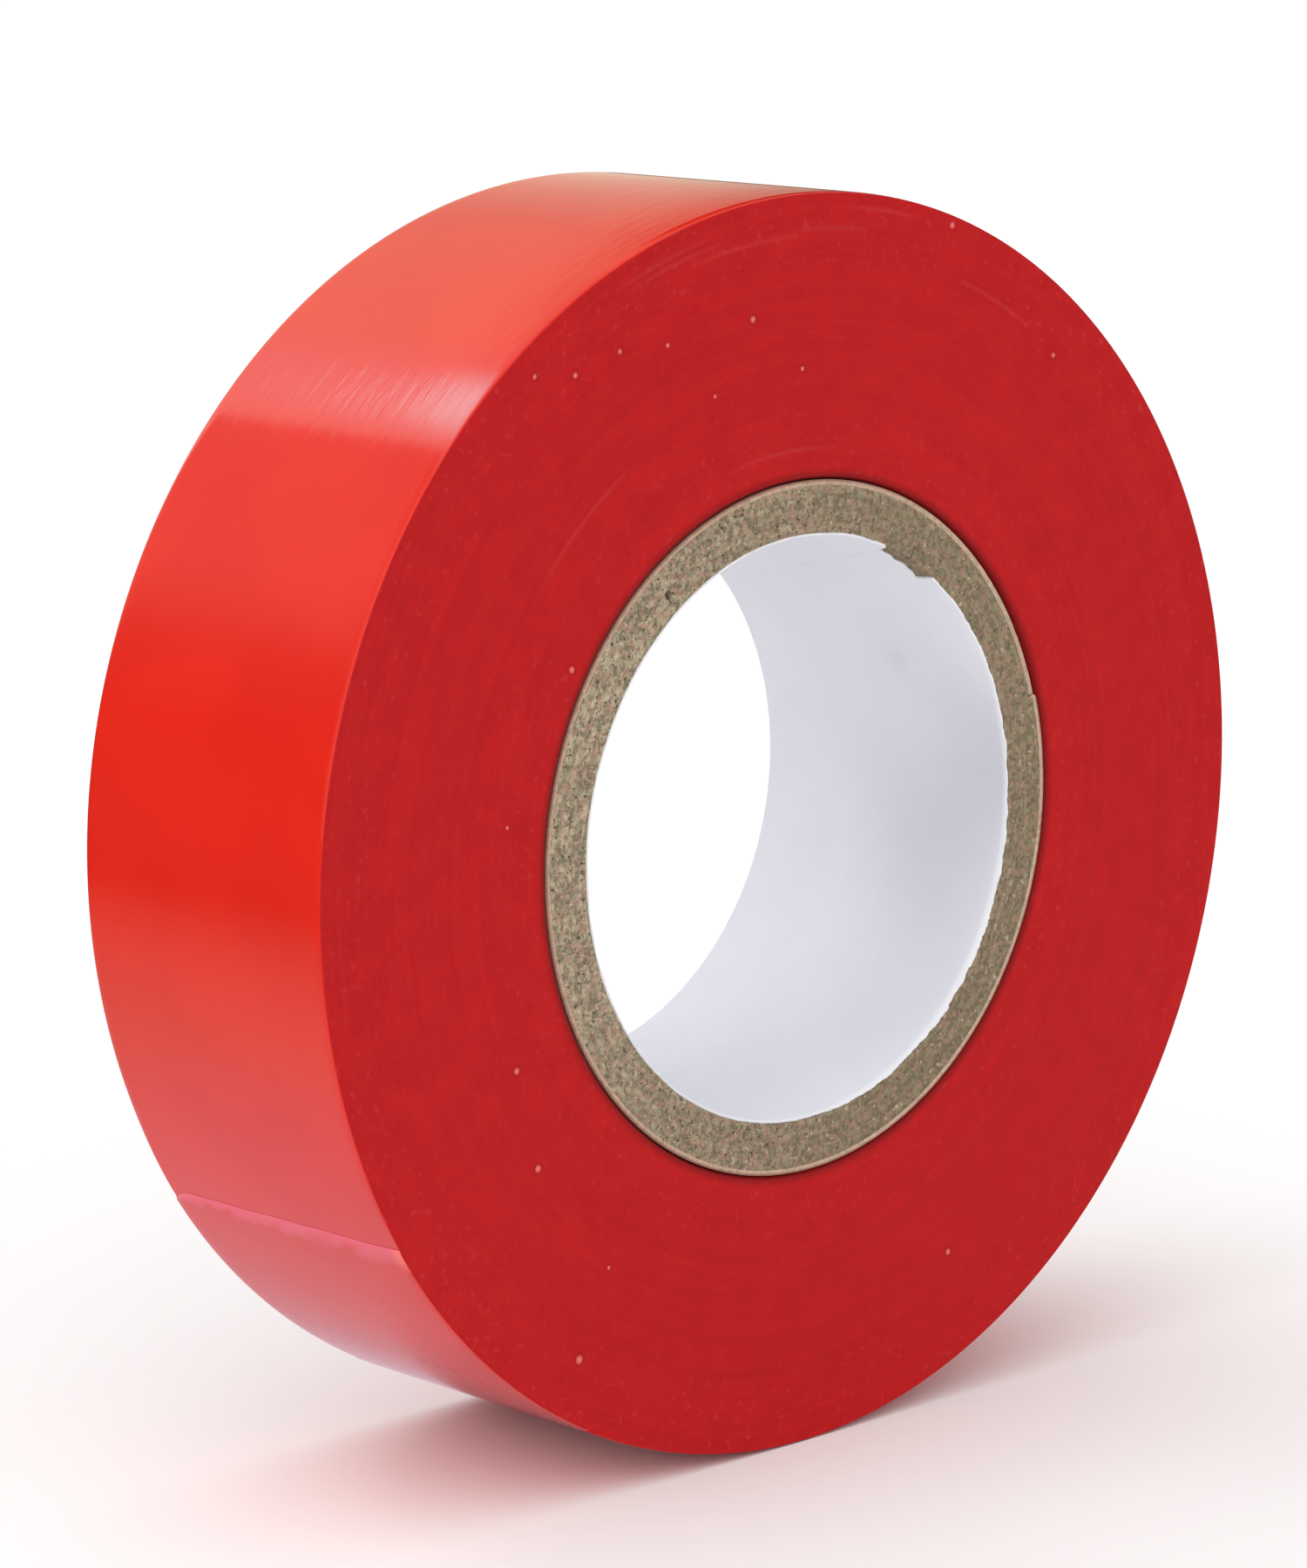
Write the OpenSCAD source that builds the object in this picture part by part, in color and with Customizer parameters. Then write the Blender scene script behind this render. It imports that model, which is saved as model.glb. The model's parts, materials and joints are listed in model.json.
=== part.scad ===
// Roll of PVC electrical tape on a laminated paper core, standing on its rim.
// Millimetres. +Z is up and the roll's axis runs along Y, with the front face towards -Y.
// The origin is the middle of the bore. Angles around the roll run counter-clockwise
// from +X as seen from the front.

/* [Tape] */
// Width of the tape
tape_w = 19; // [15:1:25]
// Outer diameter of the wound roll
roll_d = 69; // [60:1:80]
// Thickness of the PVC film
film_t = 0.11; // [0.1:0.01:0.15]
// Thickness of the adhesive under the film
glue_t = 0.02; // [0.02:0.005:0.04]
// Furthest that the turns wander sideways out of line
wander = 0.04; // [0.02:0.01:0.1]

/* [Core] */
// Diameter of the bore
bore_d = 32; // [25:1:38]
// Thickness of the white paper that lines the bore
liner_t = 0.15; // [0.1:0.05:0.3]
// Thickness of one chipboard ply
ply_t = 0.65; // [0.4:0.05:0.8]
// Thickness of the tan paper wrapped around the chipboard
wrap_t = 0.3; // [0.2:0.05:0.4]
// Width of the slit where a ply's two edges meet
seam_gap = 0.4; // [0.2:0.1:0.8]
// Slant of those slits from the roll's axis, in degrees
seam_slant = 22; // [10:1:30]

/* [Free end] */
// Angle around the roll of the tape's cut end
end_angle = 212; // [200:1:225]
// Length of the stretch that peels, in degrees around the roll
peel_arc = 30; // [20:1:36]
// Gap between two links of that stretch
link_gap = 0.06; // [0.05:0.01:0.1]

/* [Hidden] */
$fn = 180;

links = 6;
link_arc = peel_arc / links;
pitch = film_t + glue_t;

bore_r = bore_d / 2;
ply_r = bore_r + liner_t;
wrap_r = ply_r + 4 * ply_t;
core_r = wrap_r + wrap_t;
roll_r = roll_d / 2;
film_mid_r = roll_r - film_t / 2;

// How the turns wander sideways: where a shift begins, as a share of the way from the core
// to the rim, and its size as a share of wander. The outermost turns lie straight
shifts = [[0, 0], [0.16, 1], [0.31, -0.5], [0.55, 0.6], [0.72, -1], [0.9, 0]];

// Angle of each seam on the middle of the tube's width
liner_seam = 52;
ply_seams = [47, 114, 203, 293];
wrap_seam = 5;

tape_red = [0.78, 0.13, 0.12];
chipboard_grey = [0.56, 0.49, 0.41];
tan_paper = [0.72, 0.58, 0.44];
white_paper = [0.88, 0.87, 0.9];

// Puts a shape drawn about Z, with its front upwards, on its rim with its front towards -Y
module standing() {
  rotate([90, 0, 0]) children();
}

// The stretch of a ring from the angle from, arc degrees long
module ring(inner_r, outer_r, from = 0, arc = 360) {
  rotate([0, 0, from])
    rotate_extrude(angle = arc)
      translate([inner_r, -tape_w / 2]) square([outer_r - inner_r, tape_w]);
}

// One sheet of the paper tube, with the slit where its edges meet
module paper_ply(inner_r, thickness, seam_angle) {
  // how far the middle of the wall falls away from the slit's tangent at the tube's ends
  reach = tape_w * tan(seam_slant) / 2;
  fall = inner_r - sqrt(inner_r * inner_r - reach * reach);
  standing() difference() {
    ring(inner_r, inner_r + thickness);
    rotate([0, 0, seam_angle])
      translate([inner_r + (thickness - fall) / 2, 0, 0])
        rotate([-seam_slant, 0, 0])
          cube([thickness + 2 * fall + 1, seam_gap, 2 * tape_w], center = true);
  }
}

module core_liner() {
  color(white_paper) paper_ply(bore_r, liner_t, liner_seam);
}

module core_ply(number) {
  color(chipboard_grey) paper_ply(ply_r + (number - 1) * ply_t, ply_t, ply_seams[number - 1]);
}

module core_outer_ply() {
  color(tan_paper) paper_ply(wrap_r, wrap_t, wrap_seam);
}

// One side of the section through the turns, out to outer_r, stepped where they wander
module wound_section(outer_r) {
  last = len(shifts) - 1;
  starts = [for (s = shifts) core_r + s[0] * (roll_r - core_r)];
  ends = [for (i = [0:last]) i < last ? starts[i + 1] : outer_r];
  offsets = [for (s = shifts) s[1] * wander];
  front = [for (i = [0:last]) each [
    [starts[i], tape_w / 2 + offsets[i]],
    [ends[i], tape_w / 2 + offsets[i]]
  ]];
  back = [for (i = [last:-1:0]) each [
    [ends[i], -tape_w / 2 + offsets[i]],
    [starts[i], -tape_w / 2 + offsets[i]]
  ]];
  polygon(concat(front, back));
}

// Half a turn round the roll of everything wound on the core, out to outer_r
module wound_half(outer_r) {
  rotate_extrude(angle = 180) wound_section(outer_r);
}

// The turns glued into one body. The outermost one is a spiral of two half turns: one about
// the bore, and one about a centre that is half a pitch away and half a pitch smaller, so
// that it comes round one pitch below the cut end. The peeling stretch lies in the step
// that is cut back from the cut end
module tape_winding() {
  root_gap = link_gap / 2 / film_mid_r * 180 / PI;
  run_out = 1;
  color(tape_red) standing() rotate([0, 0, end_angle]) union() {
    difference() {
      wound_half(roll_r);
      rotate([0, 0, -run_out])
        rotate_extrude(angle = peel_arc + root_gap + run_out)
          translate([roll_r - pitch, -tape_w]) square([run_out, 2 * tape_w]);
    }
    rotate([0, 0, 180]) intersection() {
      wound_half(roll_r + run_out);
      translate([pitch / 2, 0, 0])
        cylinder(r = roll_r - pitch / 2, h = 2 * tape_w, center = true);
    }
  }
}

// Links are numbered from the root of the peeling stretch towards the cut end
module tape_end(number) {
  half_gap = link_gap / 2 / film_mid_r * 180 / PI;
  from = end_angle + peel_arc - number * link_arc + (number < links ? half_gap : 0);
  to = end_angle + peel_arc - (number - 1) * link_arc - half_gap;
  color(tape_red) standing() ring(roll_r - film_t, roll_r, from, to - from);
}

core_liner();
core_ply(1);  // core_ply_1
core_ply(2);  // core_ply_2
core_ply(3);  // core_ply_3
core_ply(4);  // core_ply_4
core_outer_ply();
tape_winding();
tape_end(1);  // tape_end_1
tape_end(2);  // tape_end_2
tape_end(3);  // tape_end_3
tape_end(4);  // tape_end_4
tape_end(5);  // tape_end_5
tape_end(6);  // tape_end_6
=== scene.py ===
"""Electrical tape roll: the looks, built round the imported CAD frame.

Everything is in metres in the frame's axes: +Z is up, the roll's axis runs along Y and the
front face looks towards -Y. Angles around the roll are in degrees and run counter-clockwise
from +X as seen from the front.
"""

import json
import math
from collections import namedtuple
from functools import cached_property

import bmesh
import bpy
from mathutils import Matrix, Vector, noise


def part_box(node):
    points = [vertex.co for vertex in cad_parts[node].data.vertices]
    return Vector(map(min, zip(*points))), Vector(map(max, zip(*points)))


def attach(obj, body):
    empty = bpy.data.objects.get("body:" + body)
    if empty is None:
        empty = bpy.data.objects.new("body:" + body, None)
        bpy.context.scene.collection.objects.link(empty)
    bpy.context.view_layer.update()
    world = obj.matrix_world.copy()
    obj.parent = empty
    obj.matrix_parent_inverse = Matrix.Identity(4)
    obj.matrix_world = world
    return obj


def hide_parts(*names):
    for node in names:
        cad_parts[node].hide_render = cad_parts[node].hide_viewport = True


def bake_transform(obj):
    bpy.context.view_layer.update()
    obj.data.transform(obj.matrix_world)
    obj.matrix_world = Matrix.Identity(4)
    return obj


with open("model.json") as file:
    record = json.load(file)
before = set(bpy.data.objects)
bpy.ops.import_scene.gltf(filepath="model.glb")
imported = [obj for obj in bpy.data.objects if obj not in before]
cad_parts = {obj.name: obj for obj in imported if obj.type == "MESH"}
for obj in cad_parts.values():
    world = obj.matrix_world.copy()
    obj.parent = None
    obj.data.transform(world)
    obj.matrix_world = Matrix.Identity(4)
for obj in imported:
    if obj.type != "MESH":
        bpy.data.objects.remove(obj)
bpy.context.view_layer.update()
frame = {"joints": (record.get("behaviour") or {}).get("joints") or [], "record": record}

# -------- sizes, from the frame

MM = 0.001
bore_mount = next(m for m in frame["record"]["mounts"] if m["name"] == "core_bore")
BORE_R = bore_mount["dims"]["r_mm"] * MM
HALF_W = bore_mount["dims"]["length_mm"] * MM / 2

LINER_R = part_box("core_liner")[1].x
PLY_RS = [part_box("core_ply_%d" % n)[1].x for n in (1, 2, 3, 4)]
CORE_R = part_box("core_outer_ply")[1].x

HINGES = [Vector(joint["pos_m"]) for joint in frame["joints"]]
HINGE_ANGLES = [math.degrees(math.atan2(p.z, p.x)) % 360 for p in HINGES]
LINK_ARC = HINGE_ANGLES[0] - HINGE_ANGLES[1]
FILM_MID_R = HINGES[0].length
END_ANGLE = HINGE_ANGLES[-1] - LINK_ARC

# The film and its adhesive, as in part.scad
FILM_T = 0.11 * MM
GLUE_T = 0.02 * MM
PITCH = FILM_T + GLUE_T
ROLL_R = FILM_MID_R + FILM_T / 2
# Where the free end leaves the roll, just before its first hinge
ROOT_ANGLE = HINGE_ANGLES[0] + 0.05
WIDEST_ANGLE = END_ANGLE - 180

# The slanting seams of the paper core, drawn nearly closed
SEAM_SLANT = 22
SEAM_GAP = 0.05 * MM
LINER_GAP = 0.012 * MM


# -------- small helpers


def at(radius, angle, y):
    """The point at a radius and an angle around the roll's axis."""
    a = math.radians(angle)
    return Vector((radius * math.cos(a), y, radius * math.sin(a)))


def smooth(x):
    """0 below 0, 1 above 1, and an S between them."""
    x = min(max(x, 0.0), 1.0)
    return x * x * (3 - 2 * x)


def beyond(y, share):
    """0 up to a share of the roll's half width, rising to 1 at its full half width."""
    return smooth((y - share * HALF_W) / ((1 - share) * HALF_W))


def near(angle, centre, half_width):
    """1 at an angle, falling to 0 half_width degrees away from it, round the circle."""
    away = abs((angle - centre + 180) % 360 - 180)
    return 1 - smooth(away / half_width)


def grain(x, y, z, seed=0.0):
    """Smooth noise from -1 to 1 with bumps about one unit wide."""
    return noise.noise(Vector((x + 17.3 * seed, y - 9.1 * seed, z + 5.7 * seed)))


def bridge(faces, left, right):
    """Joins two rows of vertex numbers with quads, or triangles where numbers repeat."""
    for k in range(len(left) - 1):
        corners = list(dict.fromkeys([left[k], left[k + 1], right[k + 1], right[k]]))
        if len(corners) > 2:
            faces.append(corners)


# Edges with a greater angle between their faces are sharp
SHARP_ANGLE = math.radians(35)


def make_piece(name, points, faces, materials, pick=None, marks=None):
    """A closed mesh with outward normals. pick(centre, normal) gives a face's material.

    marks holds one number per point, kept on the mesh as "mark" for the material to read.
    """
    mesh = bpy.data.meshes.new(name)
    mesh.from_pydata(points, [], faces)
    work = bmesh.new()
    work.from_mesh(mesh)
    bmesh.ops.recalc_face_normals(work, faces=work.faces)
    for face in work.faces:
        face.smooth = True
        if pick:
            face.material_index = pick(face.calc_center_median(), face.normal)
    work.to_mesh(mesh)
    work.free()
    mesh.set_sharp_from_angle(angle=SHARP_ANGLE)
    if marks:
        mesh.attributes.new("mark", "FLOAT", "POINT").data.foreach_set("value", marks)
    for material in materials:
        mesh.materials.append(material)
    piece = bpy.data.objects.new(name, mesh)
    bpy.context.scene.collection.objects.link(piece)
    return piece


# -------- camera

CAMERA_AZIMUTH = -43.511
CAMERA_ELEVATION = 10.679
CAMERA_DISTANCE = 302.95 * MM
CAMERA_LENS = 125.5
CAMERA_SENSOR = 36
CAMERA_CLIP = (0.01, 50)
AIM_RIGHT = -1.726 * MM
AIM_UP = 1.206 * MM


def make_camera():
    """The photograph's view, aimed a little to the left of the roll's middle and above it."""
    a = math.radians(CAMERA_AZIMUTH)
    e = math.radians(CAMERA_ELEVATION)
    back = Vector((math.sin(a) * math.cos(e), -math.cos(a) * math.cos(e), math.sin(e)))
    right = Vector((math.cos(a), math.sin(a), 0))
    up = back.cross(right)
    data = bpy.data.cameras.new("Camera")
    data.sensor_width = CAMERA_SENSOR
    data.lens = CAMERA_LENS
    data.clip_start, data.clip_end = CAMERA_CLIP
    camera = bpy.data.objects.new("Camera", data)
    camera.location = right * AIM_RIGHT + up * AIM_UP + back * CAMERA_DISTANCE
    camera.rotation_mode = "QUATERNION"
    camera.rotation_quaternion = (-back).to_track_quat("-Z", "Y")
    bpy.context.scene.collection.objects.link(camera)
    bpy.context.scene.camera = camera


# -------- material helpers


class Graph:
    """A short way to write a node tree. Sockets are given by value or by another output."""

    def __init__(self, tree):
        self.tree = tree

    def node(self, kind, settings=None, **inputs):
        """A new node. Inputs go by name, with _ for a space, or by number, as in _0."""
        made = self.tree.nodes.new(kind)
        for key, value in (settings or {}).items():
            setattr(made, key, value)
        for key, value in inputs.items():
            numbered = key[0] == "_"
            socket = made.inputs[int(key[1:]) if numbered else key.replace("_", " ")]
            self.feed(socket, value)
        return made

    def feed(self, socket, value):
        """Links a socket to another node's output, or sets it to a value."""
        if isinstance(value, bpy.types.NodeSocket):
            self.tree.links.new(value, socket)
        else:
            socket.default_value = value

    def math(self, operation, *values):
        """One sum of numbers, such as ADD or MAXIMUM."""
        made = self.tree.nodes.new("ShaderNodeMath")
        made.operation = operation
        for socket, value in zip(made.inputs, values):
            self.feed(socket, value)
        return made.outputs[0]

    def times(self, first, second):
        return self.math("MULTIPLY", first, second)

    def plus(self, first, second):
        return self.math("ADD", first, second)

    def ramp(self, value, low, high, to_low=0.0, to_high=1.0, smoothed=True):
        """value, carried from low..high to to_low..to_high and clamped."""
        made = self.node(
            "ShaderNodeMapRange", Value=value,
            From_Min=low, From_Max=high, To_Min=to_low, To_Max=to_high,
        )
        if smoothed:
            made.interpolation_type = "SMOOTHSTEP"
        return made.outputs["Result"]

    def mix(self, share, first, second):
        """The colour that lies a share of the way from the first to the second."""
        made = self.node("ShaderNodeMix", {"data_type": "RGBA"}, Factor=share, _6=first, _7=second)
        return made.outputs[2]

    def noise(self, vector, scale, detail=2.0, rough=0.5, distortion=0.0):
        """Noise with this many waves to each unit of the place."""
        made = self.node(
            "ShaderNodeTexNoise", Vector=vector, Scale=scale, Detail=detail,
            Roughness=rough, Distortion=distortion,
        )
        return made.outputs["Fac"]

    def vector(self, x, y, z):
        return self.node("ShaderNodeCombineXYZ", X=x, Y=y, Z=z).outputs[0]

    def stretched(self, *parts):
        """A place for a noise, from three coordinates that are each scaled by their own number."""
        return self.vector(*[self.times(along, scale) for along, scale in parts])

    def distance(self, first, second):
        """How far two places lie from each other."""
        made = self.node("ShaderNodeVectorMath", {"operation": "DISTANCE"}, _0=first, _1=second)
        return made.outputs["Value"]


class Place:
    """Where a point of the surface lies, in millimetres from the middle of the bore."""

    def __init__(self, graph):
        coords = graph.node("ShaderNodeTexCoord").outputs["Object"]
        in_mm = graph.node("ShaderNodeVectorMath", {"operation": "SCALE"}, Vector=coords, Scale=1 / MM)
        self.graph = graph
        self.point = in_mm.outputs[0]
        self.x, self.y, self.z = graph.node("ShaderNodeSeparateXYZ", Vector=self.point).outputs

    @cached_property
    def r(self):
        """The distance from the roll's axis."""
        graph = self.graph
        squares = graph.plus(graph.times(self.x, self.x), graph.times(self.z, self.z))
        return graph.math("SQRT", squares)


def new_material(name):
    """A new material, the graph of its nodes and its shader."""
    material = bpy.data.materials.new(name)
    material.use_nodes = True
    shader = material.node_tree.nodes["Principled BSDF"]
    return material, Graph(material.node_tree), shader


def dress(graph, shader, base, roughness, relief, strength, depth, specular=0.5):
    """Gives the shader its colour, roughness and bump. The bump's depth is in millimetres."""
    shader.inputs["Specular IOR Level"].default_value = specular
    graph.feed(shader.inputs["Base Color"], base)
    graph.feed(shader.inputs["Roughness"], roughness)
    bump = graph.node("ShaderNodeBump", Height=relief, Strength=strength, Distance=depth * MM)
    graph.feed(shader.inputs["Normal"], bump.outputs[0])


def colour(r, g, b):
    """An opaque colour."""
    return (r, g, b, 1.0)


# -------- materials

# Ramps are written (from, to) or (from, to, result at from, result at to). Places and sizes
# are in millimetres. A noise's values lie mostly between 0.3 and 0.7.

TAPE_RED = colour(0.722, 0.0215, 0.0105)
TAPE_RED_DEEP = colour(0.685, 0.0185, 0.0095)
RIM_BLOTCHES = (0.38, 0.62)
RIM_ROUGHNESS = (0.35, 0.7, 0.075, 0.12)
RIM_RELIEF = 0.009
LONG_STREAKS_SHARE = 0.25
PVC_IOR = 1.5

# The stretched cut end, paler partly from real stretch whitening and partly as a painted highlight for
# the lifted lip's shine: how far the pale film reaches, and how pale it is along that reach
FILM_PALE_AND_HIGHLIGHT = colour(0.86, 0.145, 0.22)
PALE_AND_HIGHLIGHT_REACH = (0.35, 0.65, 0.7, 1.5)
PALE_AND_HIGHLIGHT_ALONG = (-0.1, 1.1, 0.75, 0.0)
# Its front corner, with a painted highlight where the lifted corner would catch the light: across the
# tape, and away from the cut
FILM_CORNER_HIGHLIGHT = colour(0.95, 0.17, 0.13)
CORNER_HIGHLIGHT_ACROSS = (-9.4, -8.4, 0.9, 0)
CORNER_HIGHLIGHT_ALONG = (0.3, 1.6, 1, 0)


def whitened_and_highlighted_end(graph, here, base):
    """The film's colour close to its cut end, by the mark on its points: stretched pale with a painted
    highlight over it, and a painted highlight on its front corner.
    """
    mark = graph.node("ShaderNodeAttribute", {"attribute_name": "mark"}).outputs["Fac"]
    reach = graph.ramp(graph.noise(here.point, 0.5), *PALE_AND_HIGHLIGHT_REACH)
    pale_and_highlight = graph.ramp(graph.math("DIVIDE", mark, reach), *PALE_AND_HIGHLIGHT_ALONG)
    # Pale stretched film, with a painted highlight over it where the lifted lip would shine
    base = graph.mix(pale_and_highlight, base, FILM_PALE_AND_HIGHLIGHT)
    # A painted highlight on the cut end's front corner
    corner = graph.times(graph.ramp(here.y, *CORNER_HIGHLIGHT_ACROSS), graph.ramp(mark, *CORNER_HIGHLIGHT_ALONG))
    return graph.mix(corner, base, FILM_CORNER_HIGHLIGHT)


def make_rim_material(name, cut_end=False):
    """The film's glossy outside: saturated red, with fine streaks that run round the roll."""
    material, graph, shader = new_material(name)
    here = Place(graph)
    long_place = graph.stretched((here.x, 0.05), (here.y, 2.2), (here.z, 0.05))
    short_place = graph.stretched((here.x, 0.40), (here.y, 1.7), (here.z, 0.40))
    long_streaks = graph.noise(long_place, 1.0, detail=5.0, rough=0.65)
    short_streaks = graph.noise(short_place, 1.0, detail=3.0, rough=0.55)
    blotches = graph.noise(here.point, 0.11)
    base = graph.mix(graph.ramp(blotches, *RIM_BLOTCHES), TAPE_RED_DEEP, TAPE_RED)
    if cut_end:
        base = whitened_and_highlighted_end(graph, here, base)
    roughness = graph.ramp(long_streaks, *RIM_ROUGHNESS)
    relief = graph.plus(graph.times(long_streaks, LONG_STREAKS_SHARE), short_streaks)
    dress(graph, shader, base, roughness, relief, 1.0, RIM_RELIEF)
    shader.inputs["IOR"].default_value = PVC_IOR
    return material


# Bright specks of dust on the front face: radius in mm, angle, size in mm
SPECKS = (
    (32.75, 127, 0.16), (31.0, 123, 0.18), (30.3, 117, 0.16), (29.0, 111, 0.15),
    (28.3, 98.5, 0.20), (25.1, 91, 0.15), (31.1, 51.5, 0.17), (33.9, 71, 0.20),
    (25.1, 106, 0.13), (20.3, 148, 0.20), (23.4, 205, 0.20), (25.0, 218, 0.22),
    (31.25, 237.5, 0.26), (28.3, 294, 0.20), (22.0, 172, 0.13), (26.2, 236, 0.13),
)
# Where a speck and the dark ring round it fade out, in the speck's own sizes
SPECK_FADE = (0.25, 1.25)
RING_FADE = (0.9, 2.2)
# Faint painted highlights along arcs, as where a few turns stand proud and catch the light: radius in
# mm, middle angle, half its reach
HIGHLIGHT_ARCS = (
    (32.75, 107, 7), (32.2, 98, 8), (32.5, 87, 6), (33.2, 109, 7), (33.65, 80, 5),
    (20.8, 96, 14), (31.3, 62, 7), (24.6, 132, 12),
)
HIGHLIGHT_ARC_WIDTH = (0.03, 0.20, 1, 0)

FACE_RED = colour(0.542, 0.0134, 0.0150)
FACE_RED_DARK = colour(0.490, 0.0104, 0.0124)
FACE_TONES = (0.36, 0.64)
FACE_ROUGHNESS = (0.35, 0.65, 0.5, 0.62)
SCUFF_RED = colour(0.60, 0.035, 0.035)
SCUFFS = (0.60, 0.78, 0, 0.3)
# Paler dots that are fewest on a ring midway between the core and the rim
DOT_RED = colour(0.64, 0.045, 0.050)
DOTS = (0.58, 0.74)
DOTS_MIDWAY = 26.5
DOTS_AWAY = (1, 7, 0.1, 0.45)
ARC_HIGHLIGHT_RED = colour(0.72, 0.13, 0.12)
ARC_HIGHLIGHT_SHARE = 0.10
SPECK_PALE = colour(0.90, 0.20, 0.18)
SPECK_SHARE = 0.9
RING_RED = colour(0.25, 0.006, 0.008)
RING_SHARE = 0.35
# The shade in and beside the gap between the core and the tape
GAP_RED = colour(0.10, 0.008, 0.008)
GAP_SHADE = (CORE_R / MM + 0.05, CORE_R / MM + 0.75, 0.65, 0)


def speck_mask(graph, here):
    """How much of a speck each point of the front face holds, and of the dark ring round it."""
    bright, ring = 0.0, 0.0
    for radius, angle, size in SPECKS:
        away = graph.distance(here.point, at(radius, angle, -HALF_W / MM))
        spot = graph.ramp(away, size * SPECK_FADE[0], size * SPECK_FADE[1], 1, 0)
        halo = graph.ramp(away, size * RING_FADE[0], size * RING_FADE[1], 1, 0)
        bright = graph.math("MAXIMUM", bright, spot)
        ring = graph.math("MAXIMUM", ring, halo)
    return bright, ring


def arc_highlight_mask(graph, here):
    """How much of a painted highlight arc each point of the face holds."""
    total = 0.0
    for radius, angle, reach in HIGHLIGHT_ARCS:
        towards = at(1, angle, 0)
        along = graph.plus(graph.times(here.x, towards.x), graph.times(here.z, towards.z))
        cosine = graph.math("DIVIDE", along, here.r)
        window = graph.ramp(cosine, math.cos(math.radians(reach)), 1.0)
        off = graph.math("ABSOLUTE", graph.math("SUBTRACT", here.r, radius))
        line = graph.ramp(off, *HIGHLIGHT_ARC_WIDTH)
        total = graph.math("MAXIMUM", total, graph.times(line, window))
    return total


def dot_mask(graph, here):
    """How much of a paler dot each point of the face holds."""
    dots = graph.noise(graph.vector(here.z, here.y, here.x), 2.0)
    off = graph.math("ABSOLUTE", graph.math("SUBTRACT", here.r, DOTS_MIDWAY))
    return graph.times(graph.ramp(dots, *DOTS), graph.ramp(off, *DOTS_AWAY))


def turn_lines(graph, here):
    """A wave with one crest for each turn of tape, which follows the spiral."""
    outwards = graph.times(here.r, 2 * math.pi / (PITCH / MM))
    return graph.math("SINE", graph.plus(outwards, graph.math("ARCTAN2", here.z, here.x)))


def make_face_material():
    """The slit edges of the turns: matte red with faint rings, mottling, scuffs and dust."""
    material, graph, shader = new_material("PVC_Cut_Edges")
    here = Place(graph)
    ring_place = graph.stretched((here.r, 2.6), (here.x, 0.05), (here.z, 0.05))
    rings = graph.noise(ring_place, 1.0, detail=4.0, rough=0.6)
    mottle = graph.noise(here.point, 0.55, detail=4.0, rough=0.6)
    fine = graph.noise(here.point, 3.2, detail=3.0, rough=0.65)
    tone = graph.plus(graph.times(rings, 0.45), graph.times(mottle, 0.55))
    base = graph.mix(graph.ramp(tone, *FACE_TONES), FACE_RED_DARK, FACE_RED)
    base = graph.mix(graph.ramp(fine, *SCUFFS), base, SCUFF_RED)
    base = graph.mix(dot_mask(graph, here), base, DOT_RED)
    # Painted highlights along a few turns of the face
    base = graph.mix(graph.times(arc_highlight_mask(graph, here), ARC_HIGHLIGHT_SHARE), base, ARC_HIGHLIGHT_RED)
    bright, ring = speck_mask(graph, here)
    base = graph.mix(graph.times(ring, RING_SHARE), base, RING_RED)
    base = graph.mix(graph.times(bright, SPECK_SHARE), base, SPECK_PALE)
    base = graph.mix(graph.ramp(here.r, *GAP_SHADE), base, GAP_RED)
    roughness = graph.ramp(tone, *FACE_ROUGHNESS)
    texture = graph.plus(rings, graph.times(fine, 0.6))
    relief = graph.plus(graph.times(turn_lines(graph, here), 0.10), texture)
    dress(graph, shader, base, roughness, relief, 0.5, 0.02, specular=0.08)
    return material


GLUE_DARK = colour(0.46, 0.012, 0.012)
GLUE_LIGHT = colour(0.62, 0.03, 0.026)
GLUE_TONES = (0.35, 0.7)
GLUE_ROUGHNESS = (0.3, 0.7, 0.35, 0.6)


def make_adhesive_material():
    """The film's sticky underside: duller and a little darker, with a stringy glue coat."""
    material, graph, shader = new_material("PVC_Adhesive")
    here = Place(graph)
    strings = graph.stretched((here.x, 0.4), (here.y, 3.0), (here.z, 0.4))
    glue = graph.noise(strings, 1.0, detail=5.0, rough=0.7)
    base = graph.mix(graph.ramp(glue, *GLUE_TONES), GLUE_DARK, GLUE_LIGHT)
    dress(graph, shader, base, graph.ramp(glue, *GLUE_ROUGHNESS), glue, 0.5, 0.03)
    return material


# The chipboard's light and dark fibres, each at the right and at the left of the roll: the left ones
# are lighter as painted light, where the light falls
BOARD_LIGHTS = (colour(0.395, 0.302, 0.192), colour(0.555, 0.450, 0.308))
BOARD_DARKS = (colour(0.148, 0.110, 0.065), colour(0.205, 0.165, 0.108))
BOARD_LIT_LEFT = (-19, 12, 1, 0)
BOARD_FIBRES = (0.36, 0.64)
# Painted shade: the board darkens towards the bottom of the core's end
BOARD_LOW_SHADE = (-17, -1, 0.24, 0)
BOARD_LAYERS = (0.47, 0.60, 0, 0.4)
BOARD_ROUGHNESS = (0.3, 0.7, 0.85, 1.0)
BOARD_PINK = colour(0.44, 0.24, 0.18)
PINK_FIBRES = (0.52, 0.62, 0, 0.55)
BOARD_GREEN = colour(0.27, 0.27, 0.17)
GREEN_FIBRES = (0.46, 0.36, 0, 0.35)
# Towards the right the board looks more even, with fainter flecks
BOARD_EVEN = colour(0.238, 0.190, 0.120)
EVEN_RIGHT = (-6, 9, 0, 0.3)
FLECK_DARK = colour(0.065, 0.05, 0.035)
DARK_FLECKS = (0.60, 0.68, 0, 0.85)
FLECKS_RIGHT = (-6, 9, 1, 0.65)
FLECK_PALE = colour(0.60, 0.53, 0.42)
PALE_FLECKS = (0.62, 0.72, 0, 0.6)
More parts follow.
